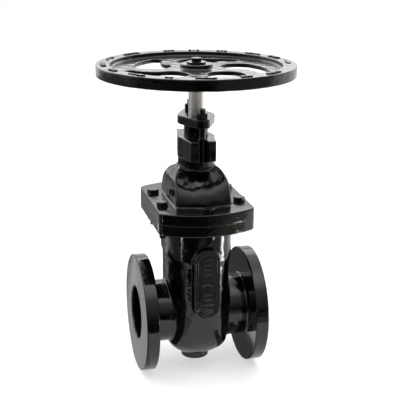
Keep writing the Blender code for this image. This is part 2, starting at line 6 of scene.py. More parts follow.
import bpy
import numpy as np
from mathutils import Matrix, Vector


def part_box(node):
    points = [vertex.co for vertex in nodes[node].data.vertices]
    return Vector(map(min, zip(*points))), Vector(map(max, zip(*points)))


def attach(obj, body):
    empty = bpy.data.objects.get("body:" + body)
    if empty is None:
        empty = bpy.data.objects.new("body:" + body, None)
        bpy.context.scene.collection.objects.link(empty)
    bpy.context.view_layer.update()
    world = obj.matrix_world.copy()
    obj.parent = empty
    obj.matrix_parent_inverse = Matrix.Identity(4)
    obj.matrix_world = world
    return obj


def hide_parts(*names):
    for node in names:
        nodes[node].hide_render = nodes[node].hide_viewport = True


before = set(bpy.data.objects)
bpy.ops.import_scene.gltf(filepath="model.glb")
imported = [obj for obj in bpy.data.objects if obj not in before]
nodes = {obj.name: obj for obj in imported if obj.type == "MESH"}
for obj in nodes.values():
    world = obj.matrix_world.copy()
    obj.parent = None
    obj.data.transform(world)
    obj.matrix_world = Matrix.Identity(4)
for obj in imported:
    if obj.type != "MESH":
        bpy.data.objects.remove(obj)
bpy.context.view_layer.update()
ROOT = "valve_body"

# ---------------------------------------------------------------- field tools
FLOAT = np.float64


def length(*parts):
    total = 0.0
    for part in parts:
        total = total + part * part
    return np.sqrt(total)


def join(a, b, r):
    """Union with a fillet of radius r."""
    if r <= 0:
        return np.minimum(a, b)
    return np.maximum(r, np.minimum(a, b)) - length(np.maximum(r - a, 0), np.maximum(r - b, 0))


def meet(a, b, r):
    """Intersection with an edge rounded to radius r."""
    if r <= 0:
        return np.maximum(a, b)
    return np.minimum(-r, np.maximum(a, b)) + length(np.maximum(r + a, 0), np.maximum(r + b, 0))


def cut(a, b, r):
    return meet(a, -b, r)


def unit(shape, x, y, z, h=1.5e-4):
    """An implicit shape's value divided by its slope, which is a distance near its surface."""
    v = shape(x, y, z)
    slope = length((shape(x + h, y, z) - v) / h, (shape(x, y + h, z) - v) / h, (shape(x, y, z + h) - v) / h)
    return v / np.maximum(slope, 1e-6)


def falloff(t, power):
    return np.maximum(0.0, 1.0 - np.clip(t, 0.0, 1.0) ** power) ** (1.0 / power)


def arched(x, y, half_x, end_y, arc_r, corner_r):
    """Plan of straight sides and arched ends with round corners."""
    ax, ay = np.abs(x), np.abs(y)
    centre = end_y - arc_r
    cx = half_x - corner_r
    reach = math.sqrt((arc_r - corner_r) ** 2 - cx ** 2)
    cy = centre + reach
    nx, ny = reach / (arc_r - corner_r), cx / (arc_r - corner_r)
    dx, dy = ax - cx, ay - cy
    plain = np.maximum(ax - half_x, length(ax, ay - centre) - arc_r)
    in_corner = (dy > 0) & (dx * nx - dy * ny > 0)
    return np.where(in_corner, length(dx, dy) - corner_r, plain)


def wobble(x, y, z, size, amount):
    """The slow unevenness of a sand casting, as a few crossed waves."""
    k = 2 * math.pi / size
    return amount / 3 * (np.sin(k * (x + 0.6 * y) + 1.3 * np.sin(0.7 * k * z + 0.5))
                         + np.sin(k * (1.13 * y - 0.5 * z) + 1.1 * np.sin(0.8 * k * x + 2.1))
                         + np.sin(k * (0.91 * z + 0.7 * x) + 1.2 * np.sin(0.6 * k * y + 4.0)))


EDGES = [(0, 1), (2, 3), (4, 5), (6, 7), (0, 2), (1, 3), (4, 6), (5, 7), (0, 4), (1, 5), (2, 6), (3, 7)]
CORNERS = np.array([(i >> 2 & 1, i >> 1 & 1, i & 1) for i in range(8)])


def nets(field, lo, hi, step):
    """Quads on the zero surface of a field: one point for each grid cell that it crosses."""
    n = [int(math.ceil((h - l) / step)) + 1 for l, h in zip(lo, hi)]
    axes = [(l + step * np.arange(m)).astype(FLOAT) for l, m in zip(lo, n)]
    value = np.empty(n, np.float32)
    for i0 in range(0, n[0], 24):
        part = axes[0][i0:i0 + 24]
        value[i0:i0 + 24] = field(part[:, None, None], axes[1][None, :, None], axes[2][None, None, :])
    inside = value < 0
    count = np.zeros([m - 1 for m in n], np.uint8)
    for dx, dy, dz in CORNERS:
        count += inside[dx:n[0] - 1 + dx, dy:n[1] - 1 + dy, dz:n[2] - 1 + dz]
    active = (count > 0) & (count < 8)
    cells = np.argwhere(active)
    index = np.full(active.shape, -1, np.int64)
    index[active] = np.arange(len(cells))
    at = [value[tuple((cells + c).T)].astype(FLOAT) for c in CORNERS]
    total, hits = np.zeros((len(cells), 3)), np.zeros(len(cells))
    for a, b in EDGES:
        crosses = (at[a] < 0) != (at[b] < 0)
        t = at[a][crosses] / (at[a][crosses] - at[b][crosses])
        total[crosses] += CORNERS[a] + t[:, None] * (CORNERS[b] - CORNERS[a])
        hits[crosses] += 1
    points = (cells + total / hits[:, None]) * step + np.array(lo)
    quads = []
    for axis in range(3):
        u, v = (axis + 1) % 3, (axis + 2) % 3
        low, high = [slice(1, -1)] * 3, [slice(1, -1)] * 3
        low[axis], high[axis] = slice(None, -1), slice(1, None)
        a, b = inside[tuple(low)], inside[tuple(high)]
        where = np.argwhere(a != b)
        forward = a[tuple(where.T)]
        where[:, u] += 1
        where[:, v] += 1
        ring = []
        for du, dv in ((-1, -1), (0, -1), (0, 0), (-1, 0)):
            cell = where.copy()
            cell[:, u] += du
            cell[:, v] += dv
            ring.append(index[tuple(cell.T)])
        ring = np.stack(ring, 1)
        ring[~forward] = ring[~forward][:, ::-1]
        quads.append(ring)
    return points, np.concatenate(quads)


def slope_at(field, p, h=1e-4):
    x, y, z = p.T
    return np.stack([(field(x + h, y, z) - field(x - h, y, z)), (field(x, y + h, z) - field(x, y - h, z)),
                     (field(x, y, z + h) - field(x, y, z - h))], 1) / (2 * h)


def settle(field, points, reach, times=3):
    """Moves points on to the zero surface, along its slope."""
    for _ in range(times):
        g = slope_at(field, points)
        f = field(*points.T)
        move = g * (f / np.maximum((g * g).sum(1), 1e-9))[:, None]
        far = np.sqrt((move * move).sum(1))
        points = points - move * np.minimum(1.0, reach / np.maximum(far, 1e-12))[:, None]
    return points


def relax(points, quads, weight=0.5):
    ends = np.concatenate([quads[:, [0, 1]], quads[:, [1, 2]], quads[:, [2, 3]], quads[:, [3, 0]]])
    ends = np.concatenate([ends, ends[:, ::-1]])
    total = np.stack([np.bincount(ends[:, 0], points[ends[:, 1], k], len(points)) for k in range(3)], 1)
    hits = np.bincount(ends[:, 0], minlength=len(points))[:, None]
    return points + weight * (total / np.maximum(hits, 1) - points)


def sharpen(field, points, quads, reach):
    """Moves a point beside an edge on to it: the nearest point to its neighbours' tangent planes."""
    normals = slope_at(field, points)
    normals /= np.maximum(np.sqrt((normals * normals).sum(1)), 1e-9)[:, None]
    ends = np.concatenate([quads[:, [0, 1]], quads[:, [1, 2]], quads[:, [2, 3]], quads[:, [3, 0]]])
    turn = 1 - (normals[ends[:, 0]] * normals[ends[:, 1]]).sum(1)
    bend = np.zeros(len(points))
    np.maximum.at(bend, ends[:, 0], turn)
    np.maximum.at(bend, ends[:, 1], turn)
    near = bend > 0.12
    ends = np.concatenate([ends, ends[:, ::-1]])
    ends = ends[near[ends[:, 0]]]
    own = np.flatnonzero(near)
    first = np.concatenate([ends[:, 0], own])
    other = np.concatenate([ends[:, 1], own])
    n, q = normals[other], points[other] - points[first]
    along = (n * q).sum(1)
    left = np.zeros((len(points), 3, 3))
    side = np.zeros((len(points), 3))
    for i in range(3):
        side[:, i] = np.bincount(first, n[:, i] * along, len(points))
        for j in range(3):
            left[:, i, j] = np.bincount(first, n[:, i] * n[:, j], len(points))
    left[own] += 0.12 * np.eye(3)
    move = np.linalg.solve(left[own], side[own][:, :, None])[:, :, 0]
    far = np.sqrt((move * move).sum(1))
    move *= np.minimum(1.0, reach / np.maximum(far, 1e-12))[:, None]
    points = points.copy()
    points[own] += move
    return points


def new_mesh(name, points, faces):
    mesh = bpy.data.meshes.new(name)
    side = faces.shape[1]
    mesh.vertices.add(len(points))
    mesh.vertices.foreach_set("co", points.astype(np.float32).ravel())
    mesh.loops.add(faces.size)
    mesh.loops.foreach_set("vertex_index", faces.astype(np.int32).ravel())
    mesh.polygons.add(len(faces))
    mesh.polygons.foreach_set("loop_start", np.arange(0, faces.size, side, dtype=np.int32))
    mesh.polygons.foreach_set("loop_total", np.full(len(faces), side, np.int32))
    mesh.update(calc_edges=True)
    mesh.validate()
    return mesh


def link(name, mesh):
    obj = bpy.data.objects.new(name, mesh)
    bpy.context.scene.collection.objects.link(obj)
    return obj


def casting(name, field, lo, hi, step, faces_kept):
    """A closed mesh of the field's inside, thinned where it is flat, with the field's own normals."""
    points, quads = nets(field, lo, hi, step)
    points = relax(points, quads, 0.5)
    points = settle(field, points, 0.6 * step, 2)
    points = relax(points, quads, 0.35)
    points = settle(field, points, 0.6 * step, 3)
    for _ in range(2):
        points = sharpen(field, points, quads, 0.5 * step)
        points = settle(field, points, 0.2 * step, 2)
    obj = link(name, new_mesh(name, points, quads))
    thin = obj.modifiers.new("thin", "DECIMATE")
    thin.ratio = min(1.0, faces_kept / (2 * len(quads)))
    bpy.context.view_layer.update()
    mesh = bpy.data.meshes.new_from_object(obj.evaluated_get(bpy.context.evaluated_depsgraph_get()))
    obj.modifiers.clear()
    obj.data = mesh
    mesh.name = name
    co = np.empty(len(mesh.vertices) * 3, np.float32)
    mesh.vertices.foreach_get("co", co)
    co = settle(field, co.reshape(-1, 3).astype(FLOAT), 0.25 * step, 2)
    mesh.vertices.foreach_set("co", co.astype(np.float32).ravel())
    mesh.update()
    mesh.shade_smooth()
    normals = slope_at(field, co, 1.5e-4)
    normals /= np.maximum(np.sqrt((normals * normals).sum(1)), 1e-9)[:, None]
    corner = np.empty(len(mesh.loops), np.int32)
    mesh.loops.foreach_get("vertex_index", corner)
    flat = np.empty(len(mesh.polygons) * 3, np.float32)
    mesh.polygons.foreach_get("normal", flat)
    sides = np.empty(len(mesh.polygons), np.int32)
    mesh.polygons.foreach_get("loop_total", sides)
    flat = np.repeat(flat.reshape(-1, 3), sides, axis=0)
    smooth = normals[corner]
    crisp = (smooth * flat).sum(1) < 0.86
    smooth[crisp] = flat[crisp]
    mesh.normals_split_custom_set(smooth.astype(np.float32).tolist())
    return obj


# ---------------------------------------------------------------- mesh tools
def grid_mesh(name, rings, closed=False, cap=True, angle=30.0):
    """Rings of equal point count joined by quads; each end is capped by one face."""
    rings = np.asarray(rings, FLOAT)
    m, n = rings.shape[:2]
    points = rings.reshape(-1, 3)
    i = np.arange(n)
    j = (i + 1) % n
    faces = []
    for k in range(m if closed else m - 1):
        a, b = k * n, (k + 1) % m * n
        faces.append(np.stack([a + i, a + j, b + j, b + i], 1))
    faces = [tuple(f) for f in np.concatenate(faces)]
    if cap and not closed:
        faces.append(tuple(range(n))[::-1])
        faces.append(tuple((m - 1) * n + q for q in range(n)))
    mesh = bpy.data.meshes.new(name)
    mesh.from_pydata(points.tolist(), [], faces)
    import bmesh
    bm = bmesh.new()
    bm.from_mesh(mesh)
    bmesh.ops.remove_doubles(bm, verts=bm.verts, dist=1e-7)
    bmesh.ops.recalc_face_normals(bm, faces=bm.faces)
    bm.to_mesh(mesh)
    bm.free()
    mesh.shade_smooth()
    mesh.set_sharp_from_angle(angle=math.radians(angle))
    return link(name, mesh)


def ring(radius, z, n, centre=(0.0, 0.0)):
    a = 2 * np.pi * np.arange(n) / n
    r = radius(a) if callable(radius) else np.full(n, radius)
    return np.stack([centre[0] + r * np.cos(a), centre[1] + r * np.sin(a), np.full(n, z)], 1)


def hexagon(across, turn=0.0, sides=6, blunt=0.0):
    """Radius of a regular polygon at each angle, its corners slightly blunted."""
    step = 2 * math.pi / sides

    def radius(a):
        off = (a - turn) % step - step / 2
        return np.minimum(0.5 * across / np.cos(off), 0.5 * across / math.cos(step / 2) - blunt)

    return radius


def capped(shape, limit):
    return lambda a: np.minimum(shape(a), limit)


def hex_rings(across, z0, z1, turn, centre, n=72, chamfer_low=0.0, chamfer_high=0.0):
    """A hexagon with its corners turned off at 30 degrees, from z0 to z1."""
    shape = hexagon(across, turn, 6, 0.0002)
    corner = 0.5 * across / math.cos(math.pi / 6)
    rings = []
    low = chamfer_low * (corner - 0.47 * across)
    high = chamfer_high * (corner - 0.47 * across)
    if chamfer_low:
        for t in np.linspace(0, 1, 5):
            rings.append(ring(capped(shape, 0.47 * across + t * (corner - 0.47 * across)), z0 + low * t, n, centre))
    else:
        rings.append(ring(shape, z0, n, centre))
    if chamfer_high:
        for t in np.linspace(1, 0, 5):
            rings.append(ring(capped(shape, 0.47 * across + t * (corner - 0.47 * across)), z1 - high * t, n, centre))
    else:
        rings.append(ring(shape, z1, n, centre))
    return rings


def thread_rings(radius, depth, pitch, z0, z1, n, centre=(0.0, 0.0), hand=1, flat=0.0, per=8):
    """Helical thread: each ring's radius follows the turn of the helix."""
    rings = []
    count = max(2, int(round((z1 - z0) / pitch * per)))
    a = 2 * np.pi * np.arange(n) / n
    for k in range(count + 1):
        z = z0 + (z1 - z0) * k / count
        phase = (z / pitch - hand * a / (2 * np.pi)) % 1.0
        tri = np.abs(2 * phase - 1)
        tri = np.clip((tri - flat) / (1 - 2 * flat), 0, 1) if flat else tri
        fade = min(1.0, (z - z0) / pitch, (z1 - z) / pitch) if k else 0.0
        r = radius - depth * tri * max(0.0, fade)
        rings.append(np.stack([centre[0] + r * np.cos(a), centre[1] + r * np.sin(a), np.full(n, z)], 1))
    return rings


def turned(name, profile, n, closed=True, angle=30.0):
    return grid_mesh(name, [ring(r, z, n) for r, z in profile], closed=closed, cap=not closed, angle=angle)


def rounded(profile, r=0.0004, steps=3):
    """A closed (radius, height) profile with every corner rounded."""
    out = []
    count = len(profile)
    for k in range(count):
        p, a, b = (np.array(profile[q % count], FLOAT) for q in (k, k - 1, k + 1))
        u, v = a - p, b - p
        lu, lv = np.hypot(*u), np.hypot(*v)
        cut_back = min(r, 0.4 * lu, 0.4 * lv)
        start, end = p + u / lu * cut_back, p + v / lv * cut_back
        for t in np.linspace(0, 1, steps + 1):
            out.append(tuple((1 - t) ** 2 * start + 2 * t * (1 - t) * p + t * t * end))
    return out


# ---------------------------------------------------------------- materials
def group_math(nt, kind, a, b=None, clamp=False):
    node = nt.nodes.new("ShaderNodeMath")
    node.operation = kind
    node.use_clamp = clamp
    for k, v in enumerate((a, b)):
        if v is None:
            continue
        if isinstance(v, (int, float)):
            node.inputs[k].default_value = v
        else:
            nt.links.new(v, node.inputs[k])
    return node.outputs[0]


def noise(nt, coords, scale, detail=3.0, rough=0.5, distort=0.0):
    node = nt.nodes.new("ShaderNodeTexNoise")
    nt.links.new(coords, node.inputs["Vector"])
    node.inputs["Scale"].default_value = scale
    node.inputs["Detail"].default_value = detail
    node.inputs["Roughness"].default_value = rough
    node.inputs["Distortion"].default_value = distort
    return node.outputs["Fac"]


def ramp(nt, value, low, high, out_low=0.0, out_high=1.0):
    node = nt.nodes.new("ShaderNodeMapRange")
    node.interpolation_type = "SMOOTHSTEP"
    nt.links.new(value, node.inputs["Value"])
    for name, v in (("From Min", low), ("From Max", high), ("To Min", out_low), ("To Max", out_high)):
        node.inputs[name].default_value = v
    return node.outputs["Result"]


def blend_colour(nt, factor, a, b):
    node = nt.nodes.new("ShaderNodeMix")
    node.data_type = "RGBA"
    if isinstance(factor, (int, float)):
        node.inputs["Factor"].default_value = factor
    else:
        nt.links.new(factor, node.inputs["Factor"])
    for name, v in (("A", a), ("B", b)):
        socket = [s for s in node.inputs if s.name == name and s.type == "RGBA"][0]
        if isinstance(v, tuple):
            socket.default_value = (*v, 1.0)
        else:
            nt.links.new(v, socket)
    return [s for s in node.outputs if s.type == "RGBA"][0]


def bump(nt, height, distance, strength=1.0, normal=None):
    node = nt.nodes.new("ShaderNodeBump")
    node.inputs["Strength"].default_value = strength
    node.inputs["Distance"].default_value = distance
    nt.links.new(height, node.inputs["Height"])
    if normal is not None:
        nt.links.new(normal, node.inputs["Normal"])
    return node.outputs["Normal"]


def start_material(name):
    mat = bpy.data.materials.new(name)
    mat.use_nodes = True
    nt = mat.node_tree
    shader = nt.nodes["Principled BSDF"]
    coords = nt.nodes.new("ShaderNodeTexCoord").outputs["Object"]
    return mat, nt, shader, coords


def split(nt, coords):
    node = nt.nodes.new("ShaderNodeSeparateXYZ")
    nt.links.new(coords, node.inputs[0])
    return node.outputs


def enamel(name, gloss=0.10, cast=1.0, peel=1.0, worn=0.5, machined=False, dust_and_top_sheen=0.0):
    """Black gloss enamel over cast iron: orange peel, brush runs, sanded-in dirt and small edge chips; if asked, upward
    faces lightened by dust and a painted sheen.
    """
    mat, nt, shader, coords = start_material(name)
    xyz = split(nt, coords)
    broad = noise(nt, coords, 38.0, 2.0)
    fine = noise(nt, coords, 520.0, 2.0, 0.55)
    grit = noise(nt, coords, 1700.0, 2.0, 0.6)
    sand = noise(nt, coords, 150.0, 3.0, 0.6)
    point = nt.nodes.new("ShaderNodeNewGeometry").outputs["Pointiness"]
    edge = ramp(nt, point, 0.545, 0.62)
    patchy = ramp(nt, noise(nt, coords, 260.0, 4.0, 0.65), 0.56, 0.66)
    chips = group_math(nt, "MULTIPLY", group_math(nt, "MULTIPLY", edge, patchy), worn)
    colour = blend_colour(nt, ramp(nt, broad, 0.3, 0.75), (0.0009, 0.0009, 0.0010), (0.0026, 0.0026, 0.0027))
    specks = ramp(nt, grit, 0.71, 0.78, 0.0, 0.35)
    colour = blend_colour(nt, specks, colour, (0.025, 0.024, 0.023))
    colour = blend_colour(nt, chips, colour, (0.085, 0.075, 0.065))
    if dust_and_top_sheen:
        # Upward faces are painted lighter: partly settled dust, partly a painted sheen standing in for the light the
        # tops catch.
        up = nt.nodes.new("ShaderNodeNewGeometry").outputs["Normal"]
        facing = split(nt, up)[2]
        dust_and_sheen_on_tops = group_math(nt, "MULTIPLY", ramp(nt, facing, 0.6, 0.98), ramp(nt, noise(nt, coords, 90.0, 4.0, 0.6), 0.35, 0.7))
        colour = blend_colour(nt, group_math(nt, "MULTIPLY", dust_and_sheen_on_tops, dust_and_top_sheen), colour, (0.16, 0.155, 0.15))
    nt.links.new(colour, shader.inputs["Base Color"])
    rough = ramp(nt, broad, 0.25, 0.8, gloss * 0.8, gloss * 1.35)
    rough = group_math(nt, "ADD", rough, ramp(nt, sand, 0.5, 0.8, 0.0, 0.05))
    rough = group_math(nt, "ADD", rough, group_math(nt, "MULTIPLY", chips, 0.4), clamp=True)
    nt.links.new(rough, shader.inputs["Roughness"])
    shader.inputs["IOR"].default_value = 1.5
    lumps = noise(nt, coords, 62.0, 3.0, 0.55, 0.6)
    uneven = group_math(nt, "ADD", lumps, group_math(nt, "MULTIPLY", sand, 0.35))
    if machined:
        keep = ramp(nt, group_math(nt, "ABSOLUTE", xyz[0]), 0.060, 0.075, 1.0, 0.12)
        uneven = group_math(nt, "MULTIPLY", uneven, keep)
        fine = group_math(nt, "MULTIPLY", fine, keep)
    normal = bump(nt, uneven, 0.0006 * cast)
    normal = bump(nt, fine, 0.00010 * peel, normal=normal)
    if machined:
        radius = group_math(nt, "SQRT", group_math(nt, "ADD", group_math(nt, "MULTIPLY", xyz[1], xyz[1]),
                                                   group_math(nt, "MULTIPLY", xyz[2], xyz[2])))
        groove = nt.nodes.new("ShaderNodeTexNoise")
        groove.noise_dimensions = "1D"
        nt.links.new(radius, groove.inputs["W"])
        groove.inputs["Scale"].default_value = 900.0
        groove.inputs["Detail"].default_value = 3.0
        on_face = ramp(nt, group_math(nt, "ABSOLUTE", xyz[0]), 0.1130, 0.1140)
        lines = group_math(nt, "MULTIPLY", groove.outputs["Fac"], on_face)
        normal = bump(nt, lines, 0.00006, normal=normal)
    nt.links.new(normal, shader.inputs["Normal"])
    return mat


def steel(name, tint=(0.62, 0.60, 0.57), rough=0.22, metallic=1.0, scale=2600.0, stain=0.25):
    """Turned steel: fine lines round the axis, a little tarnish."""
    mat, nt, shader, coords = start_material(name)
    stretch = nt.nodes.new("ShaderNodeMapping")
    nt.links.new(coords, stretch.inputs["Vector"])
    stretch.inputs["Scale"].default_value = (60.0, 60.0, scale)
    lines = noise(nt, stretch.outputs[0], 1.0, 3.0, 0.6)
    blot = noise(nt, coords, 70.0, 4.0, 0.6)
    colour = blend_colour(nt, ramp(nt, blot, 0.45, 0.75, 0.0, stain), tint, (0.30, 0.27, 0.23))
    nt.links.new(colour, shader.inputs["Base Color"])
    shader.inputs["Metallic"].default_value = metallic
    r = ramp(nt, lines, 0.3, 0.75, rough * 0.75, rough * 1.3)
    r = group_math(nt, "ADD", r, ramp(nt, blot, 0.5, 0.8, 0.0, 0.15))
    nt.links.new(r, shader.inputs["Roughness"])
    nt.links.new(bump(nt, lines, 0.00003), shader.inputs["Normal"])
    return mat


def plain_grain(name, dark, light, rough, metallic, scale, depth, fine=1400.0):
    mat, nt, shader, coords = start_material(name)
    a = noise(nt, coords, scale, 4.0, 0.6)
    b = noise(nt, coords, fine, 2.0)
    nt.links.new(blend_colour(nt, ramp(nt, a, 0.3, 0.72), dark, light), shader.inputs["Base Color"])
    shader.inputs["Metallic"].default_value = metallic
    nt.links.new(ramp(nt, a, 0.3, 0.75, rough * 0.8, min(1.0, rough * 1.25)), shader.inputs["Roughness"])
    nt.links.new(bump(nt, b, depth * 0.3, normal=bump(nt, a, depth)), shader.inputs["Normal"])
    return mat


def braid(name):
    """Graphited square braid: two crossed sets of strands."""
    mat, nt, shader, coords = start_material(name)
    waves = []
    for turn in (0.9, -0.9):
        mapping = nt.nodes.new("ShaderNodeMapping")
        nt.links.new(coords, mapping.inputs["Vector"])
        mapping.inputs["Rotation"].default_value = (0.0, turn, 0.0)
        wave = nt.nodes.new("ShaderNodeTexWave")
        nt.links.new(mapping.outputs[0], wave.inputs["Vector"])
        wave.inputs["Scale"].default_value = 260.0
        waves.append(wave.outputs["Fac"])
    weave = group_math(nt, "MAXIMUM", waves[0], waves[1])
    nt.links.new(blend_colour(nt, weave, (0.01, 0.01, 0.01), (0.05, 0.05, 0.052)), shader.inputs["Base Color"])
    shader.inputs["Roughness"].default_value = 0.6
    nt.links.new(bump(nt, weave, 0.0004), shader.inputs["Normal"])
    return mat


CAST_BODY = enamel("black_enamel_body", 0.08, 1.0, 1.0, 0.4, machined=True)
CAST_BONNET = enamel("black_enamel_bonnet", 0.08, 0.9, 1.0, 0.4)
# The wheel's upward faces get the lighter dust and painted sheen.
CAST_WHEEL = enamel("black_enamel_wheel", 0.15, 0.6, 1.0, 0.6, dust_and_top_sheen=0.10)
CAST_GLAND = enamel("black_enamel_gland", 0.12, 0.6, 1.0, 0.7)
PAINTED = enamel("black_enamel_fasteners", 0.13, 0.4, 1.0, 0.8)
BAND = enamel("black_enamel_joint_edge", 0.30, 0.6, 1.0, 0.3)
TURNED = steel("turned_steel_stem", (0.74, 0.72, 0.68), 0.20, 0.62, stain=0.15)
BRONZE = steel("machined_bronze", (0.62, 0.42, 0.20), 0.30, stain=0.3)
IRON = plain_grain("bare_iron", (0.07, 0.068, 0.065), (0.17, 0.165, 0.16), 0.5, 0.6, 190.0, 0.0003)
BRAID = braid("braided_packing")


def dress(obj, mat, body, slot, *replaced):
    obj.data.materials.clear()
    obj.data.materials.append(mat)
    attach(obj, body)
    if replaced:
        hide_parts(*replaced)
    return obj


# ---------------------------------------------------------------- body casting
def body_scale(z):
    grow_x = np.interp(z, [0.108, 0.119, 0.175, 0.180], [1.0, 1.06, 1.068, 1.09])
    grow_y = np.interp(z, [0.108, 0.119, 0.175, 0.180], [1.0, 1.008, 1.012, 1.035])
    sx = np.maximum(falloff((-0.0553 - z) / 0.0352, 1.6), 0.15)
    sy = np.maximum(falloff((0.015 - z) / 0.1055, 2.02), 0.15)
    return sx * grow_x, sy * grow_y


def body_shell(x, y, z):
    sx, sy = body_scale(z)
    return ((np.abs(x) / (0.0568 * sx)) ** 3 + (np.abs(y) / (0.0818 * sy)) ** 3 + 1e-9) ** (1 / 3) - 1


def chamber(x, y, z):
    grow = np.interp(z, [0.066, 0.084], [1.0, 0.046 / 0.036])
    sx = np.maximum(falloff((-0.062 - z) / 0.017, 2.2), 0.15) * grow
    sy = np.maximum(falloff((0.010 - z) / 0.089, 2.02), 0.15)
    return ((np.abs(x) / (0.036 * sx)) ** 3 + (np.abs(y) / (0.0735 * sy)) ** 3 + 1e-9) ** (1 / 3) - 1


BONNET_BOLTS = [(0.072, 0.042), (0.0, 0.100), (-0.072, 0.042), (-0.072, -0.042), (0.0, -0.100), (0.072, -0.042)]
PAD_HALF, PAD_Z0, PAD_Z1, PAD_Y = 0.0245, 0.0130, 0.1475, 0.0945
RELIEF = 0.0019         # how far the pad's borders and marks stand over its field


def racetrack(x, z, r):
    return length(x, z - np.clip(z, PAD_Z0 + PAD_HALF, PAD_Z1 - PAD_HALF)) - r


def bolt_holes(x, y, r):
    d = 1.0
    for cx, cy in BONNET_BOLTS:
        d = np.minimum(d, length(x - cx, y - cy) - r)
    return d


def body_field(x, y, z):
    shell = np.maximum(unit(body_shell, x, y, z), -0.0905 - z)
    shell = np.maximum(shell, np.maximum(np.abs(x) - 0.0640, np.abs(y) - 0.0860))
    shell = np.maximum(shell, z - 0.183)
    shell = shell + wobble(x, y, z, 0.032, 0.00022)
    radius = length(y, z)
    ax = np.abs(x)
    neck = np.maximum(radius - 0.0585, ax - 0.100) + wobble(x, y, z, 0.030, 0.0002)
    flange = meet(radius - 0.110, np.abs(ax - 0.1025) - 0.012, 0.0019)
    solid = join(shell, neck, 0.0042)
    solid = join(solid, flange, 0.0042)
    boss = meet(length(x, y) - 0.0265, np.abs(z + 0.080) - 0.0172, 0.0016)
    solid = join(solid, boss, 0.004)
    plan = arched(x, y, 0.0875, 0.120, 0.1465, 0.014)
    slab = np.maximum(meet(plan, 0.180 - z, 0.0018), z - 0.2001) + wobble(x, y, z, 0.040, 0.00012)
    solid = join(solid, slab, 0.004)
    ay = np.abs(y)
    pad = meet(racetrack(x, z, PAD_HALF), np.abs(ay - 0.0820) - (PAD_Y - RELIEF - 0.0820), 0.0016)
    solid = join(solid, pad, 0.003)
    hollow = np.maximum(unit(chamber, x, y, z), -0.079 - z)
    hollow = np.maximum(hollow, np.maximum(ax - 0.0480, ay - 0.0760))
    bore = radius - 0.050
    recess = np.maximum(radius - 0.0593, ax - 0.0405)
    inside = join(np.minimum(join(hollow, bore, 0.003), recess), z * 0 + 1.0, 0)
    ribs = np.maximum(np.maximum(ax - 0.004, np.abs(ay - 0.0712) - 0.0047), np.abs(z - 0.089) - 0.101)
    inside = np.maximum(inside, -ribs)
    solid = cut(solid, inside, 0.0019)
    holes = np.maximum(bolt_holes(x, y, 0.0067), 0.170 - z)
    return cut(solid, holes, 0.0006)


body = casting("cast_body", body_field, (-0.1165, -0.1225, -0.1125), (0.1165, 0.1225, 0.2015), 0.00155, 190000)
dress(body, CAST_BODY, ROOT, "black_enamel", "body")


# ---------------------------------------------------------------- pad borders and marks
def sweep_bead(name, path, width, height, base_y, sign, sink=0.0006):
    """A half-round bead along a closed path in the XZ plane, standing out along +-Y."""
    path = np.array(path)
    ahead = np.roll(path, -1, 0) - np.roll(path, 1, 0)
    ahead /= np.hypot(*ahead.T)[:, None]
    side = np.stack([-ahead[:, 1], ahead[:, 0]], 1)
    rings = []
    for k in range(9):
        a = math.pi * k / 8
        out = height * math.sin(a) ** 0.7 if k not in (0, 8) else 0.0
        p = path + side * (width / 2 * math.cos(a))
        rings.append(np.stack([p[:, 0], np.full(len(p), sign * (base_y + out)), p[:, 1]], 1))
    for k in (1, -1):
        p = path - side * (width / 2 * k)
        rings.append(np.stack([p[:, 0], np.full(len(p), sign * (base_y - sink)), p[:, 1]], 1))
    return grid_mesh(name, rings, closed=True, cap=False, angle=70)


def track_path(r, n=20):
    z0, z1 = PAD_Z0 + PAD_HALF, PAD_Z1 - PAD_HALF
    pts = [(r * math.cos(math.pi * k / n), z1 + r * math.sin(math.pi * k / n)) for k in range(n + 1)]
    pts += [(-r, z1 + (z0 - z1) * k / 30) for k in range(1, 30)]
    pts += [(r * math.cos(math.pi + math.pi * k / n), z0 + r * math.sin(math.pi + math.pi * k / n)) for k in range(n + 1)]
    pts += [(r, z0 + (z1 - z0) * k / 30) for k in range(1, 30)]
    return pts


def raised(name, outlines, place, height, sink=0.0006, inset=0.0005):
    """Low cast marks: each outline rises with drafted, softened sides. place(u, v, w) gives the point."""
    points, faces = [], []
    for outline in outlines:
        outline = np.array(outline)
        centre = outline.mean(0)
        n = len(outline)
        start = len(points)
        reach = np.maximum(np.abs(outline - centre).max(0), 1.2 * inset)
        for shrink, w in ((0.0, -sink), (0.15, 0.35 * height), (0.45, 0.8 * height), (1.0, height)):
            scale = 1 - shrink * inset / reach
            for u, v in centre + (outline - centre) * scale:
                points.append(place(u, v, w))
        for k in range(3):
            for i in range(n):
                j = (i + 1) % n
                faces.append((start + k * n + i, start + k * n + j, start + (k + 1) * n + j, start + (k + 1) * n + i))
        faces.append(tuple(start + i for i in range(n))[::-1])
        faces.append(tuple(start + 3 * n + i for i in range(n)))
    mesh = bpy.data.meshes.new(name)
    mesh.from_pydata(points, [], faces)
    import bmesh
    bm = bmesh.new()
    bm.from_mesh(mesh)
    bmesh.ops.recalc_face_normals(bm, faces=bm.faces)
    bm.to_mesh(mesh)
    bm.free()
    mesh.shade_smooth()
    mesh.set_sharp_from_angle(angle=math.radians(50))
    return link(name, mesh)


def bar(u, v, half_u, half_v, n=3, r=0.0008):
    """A rounded rectangle outline."""
    pts = []
    r = min(r, half_u * 0.9, half_v * 0.9)
    for sx, sy, a0 in ((1, 1, 0), (-1, 1, 90), (-1, -1, 180), (1, -1, 270)):
        for k in range(n + 1):
            a = math.radians(a0 + 90 * k / n)
            pts.append((u + sx * (half_u - r) + r * math.cos(a), v + sy * (half_v - r) + r * math.sin(a)))
    return pts


